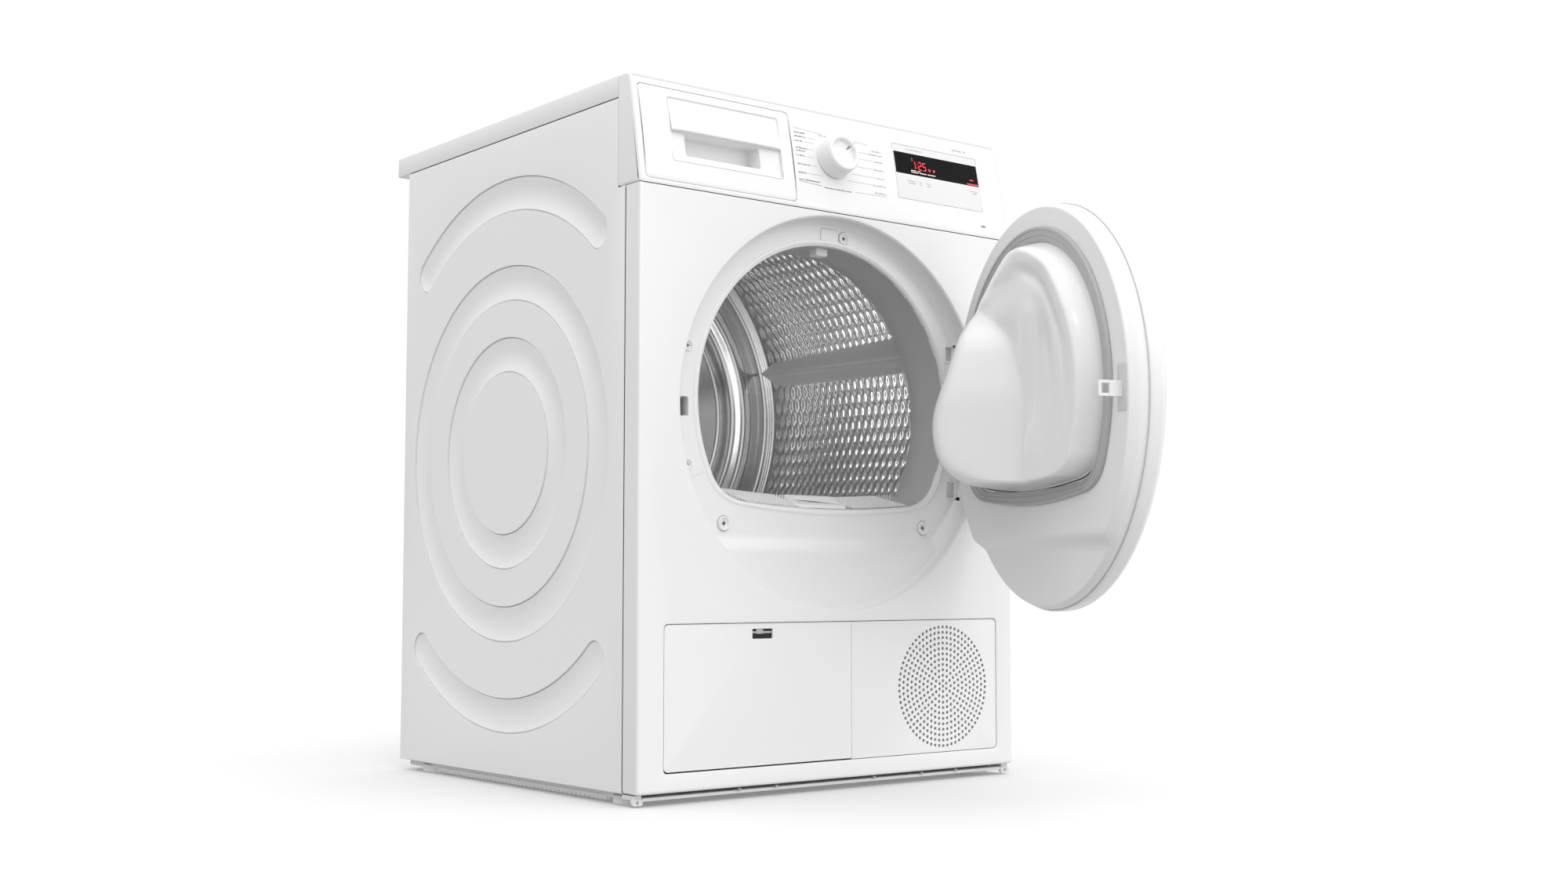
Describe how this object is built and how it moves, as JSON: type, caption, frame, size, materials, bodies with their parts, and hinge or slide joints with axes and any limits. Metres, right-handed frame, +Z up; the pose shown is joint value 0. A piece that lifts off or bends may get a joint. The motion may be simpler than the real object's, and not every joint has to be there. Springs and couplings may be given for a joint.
{
  "type": "clothes dryer",
  "caption": "Free-standing front-loading clothes dryer with its round side-hinged door open: milky bowl, dimpled drum, condensate drawer, selector dial, display and lower service flap.",
  "frame": {"origin": "on the floor plane under the middle of the cabinet; the feet stand on it", "axes": "+Z up, -Y towards the user at the front, +X to the right of someone who faces the front"},
  "size_m": [0.598, 1.0505, 0.842],
  "materials": {
    "painted_steel": "smooth semi-gloss white paint",
    "white_lid": "hard satin white",
    "white_plastic": "fine satin white",
    "door_white": "semi-gloss white",
    "display_black": "gloss black window",
    "bowl": "milky gloss",
    "seal_rubber": "soft grey",
    "drum_steel": "bright rolled stainless sheet",
    "grey_plastic": "grey moulded",
    "foot_plastic": "light grey moulded",
    "tank_plastic": "white moulded",
    "galvanised_steel": "galvanised sheet",
    "fin_aluminium": "bare fins",
    "copper": "bare copper pipe",
    "black_plastic": "black moulded",
    "black_paint": "black paint",
    "black_rubber": "black rubber"
  },
  "bodies": {
    "cabinet": {"base_tray": "grey_plastic", "side_panel_left": "painted_steel", "side_panel_right": "painted_steel", "front_panel": "painted_steel", "rear_panel": "galvanised_steel", "rear_duct_cover": "galvanised_steel", "power_inlet": "black_plastic", "worktop": "white_lid", "control_panel": "white_plastic", "display_window": "display_black", "control_board": "black_plastic", "tank_housing": "grey_plastic", "door_surround": "white_plastic", "front_bulkhead": "grey_plastic", "hinge_bracket": "galvanised_steel", "door_lock": "black_plastic", "drum_light": "white_plastic", "filter_duct": "grey_plastic", "drum_seal": "seal_rubber", "drum_bearing": "galvanised_steel", "drive_motor": "galvanised_steel", "blower_housing": "grey_plastic", "drive_belt": "black_rubber", "evaporator": "fin_aluminium", "condenser": "fin_aluminium", "compressor": "black_paint", "refrigerant_pipe": "copper", "condensate_pump": "black_plastic", "vent_cover": "white_plastic", "fan_shroud": "grey_plastic"},
    "door": {"door_ring": "door_white", "door_front_cover": "door_white", "door_inner_frame": "white_plastic", "door_bowl": "bowl", "door_seal": "seal_rubber", "door_hook": "white_plastic", "door_hinge": "galvanised_steel"},
    "drum": {"drum_shell": "drum_steel", "drum_rear_wall": "drum_steel", "drum_lifter_1": "grey_plastic", "drum_lifter_2": "grey_plastic", "drum_lifter_3": "grey_plastic"},
    "roller_left": {"support_roller_left": "black_rubber"},
    "roller_right": {"support_roller_right": "black_rubber"},
    "motor_rotor": {"motor_pulley": "galvanised_steel", "blower_impeller": "grey_plastic"},
    "tension_arm": {"idler_arm": "galvanised_steel"},
    "tension_roller": {"idler_roller": "black_plastic"},
    "dial": {"selector_dial": "white_plastic"},
    "drawer": {"drawer_front": "white_plastic", "condensate_tank": "tank_plastic"},
    "filter": {"lint_filter": "tank_plastic"},
    "flap": {"maintenance_flap": "white_plastic"},
    "latch": {"flap_latch": "grey_plastic"},
    "fan": {"cooling_fan": "black_plastic"},
    "foot_fl": {"foot_front_left": "foot_plastic"},
    "foot_fr": {"foot_front_right": "foot_plastic"},
    "foot_rl": {"foot_rear_left": "foot_plastic"},
    "foot_rr": {"foot_rear_right": "foot_plastic"}
  },
  "joints": [
    {"name": "door_swing", "type": "hinge", "parent": "cabinet", "child": "door", "pos_m": [0.229, -0.3132, 0.459], "axis": [0, 0, 1], "range_deg": [-68.7, 36.3]},
    {"name": "drum_spin", "type": "hinge", "parent": "cabinet", "child": "drum", "pos_m": [0, 0.0005, 0.498], "axis": [0, 1, 0], "continuous": true},
    {"name": "roller_left_spin", "type": "hinge", "parent": "cabinet", "child": "roller_left", "pos_m": [-0.152, -0.2055, 0.23542], "axis": [0, 1, 0], "continuous": true},
    {"name": "roller_right_spin", "type": "hinge", "parent": "cabinet", "child": "roller_right", "pos_m": [0.152, -0.2055, 0.23542], "axis": [0, 1, 0], "continuous": true},
    {"name": "motor_spin", "type": "hinge", "parent": "cabinet", "child": "motor_rotor", "pos_m": [0.178, 0.1505, 0.12], "axis": [0, 1, 0], "continuous": true},
    {"name": "idler_swing", "type": "hinge", "parent": "cabinet", "child": "tension_arm", "pos_m": [0.095, 0.0705, 0.09], "axis": [0, 1, 0], "range_deg": [-12, 0], "stiffness_Nm_per_rad": 2},
    {"name": "idler_spin", "type": "hinge", "parent": "tension_arm", "child": "tension_roller", "pos_m": [0.0235, 0.0705, 0.1554], "axis": [0, 1, 0], "continuous": true},
    {"name": "dial_turn", "type": "hinge", "parent": "cabinet", "child": "dial", "pos_m": [0, -0.2886, 0.779], "axis": [0, -0.9789, 0.2045], "continuous": true},
    {"name": "drawer_slide", "type": "slide", "parent": "cabinet", "child": "drawer", "axis": [0, -1, 0], "range_m": [0, 0.46]},
    {"name": "filter_lift", "type": "slide", "parent": "cabinet", "child": "filter", "axis": [0, 0, 1], "range_m": [0, 0.19]},
    {"name": "flap_swing", "type": "hinge", "parent": "cabinet", "child": "flap", "pos_m": [-0.12, -0.2937, 0.0425], "axis": [1, 0, 0], "range_deg": [0, 88]},
    {"name": "latch_slide", "type": "slide", "parent": "flap", "child": "latch", "axis": [0, 0, -1], "range_m": [0, 0.005]},
    {"name": "fan_spin", "type": "hinge", "parent": "cabinet", "child": "fan", "pos_m": [0.1747, -0.2395, 0.119], "axis": [0, 1, 0], "continuous": true},
    {"name": "foot_fl_screw", "type": "slide", "parent": "cabinet", "child": "foot_fl", "axis": [0, 0, -1], "range_m": [0, 0.015]},
    {"name": "foot_fr_screw", "type": "slide", "parent": "cabinet", "child": "foot_fr", "axis": [0, 0, -1], "range_m": [0, 0.015]},
    {"name": "foot_rl_screw", "type": "slide", "parent": "cabinet", "child": "foot_rl", "axis": [0, 0, -1], "range_m": [0, 0.015]},
    {"name": "foot_rr_screw", "type": "slide", "parent": "cabinet", "child": "foot_rr", "axis": [0, 0, -1], "range_m": [0, 0.015]}
  ],
  "couplings": [
    {"joint": "roller_left_spin", "follows": "drum_spin", "ratio": -16.823},
    {"joint": "roller_right_spin", "follows": "drum_spin", "ratio": -16.823},
    {"joint": "motor_spin", "follows": "drum_spin", "ratio": 23.833},
    {"joint": "idler_spin", "follows": "drum_spin", "ratio": -20.429}
  ]
}
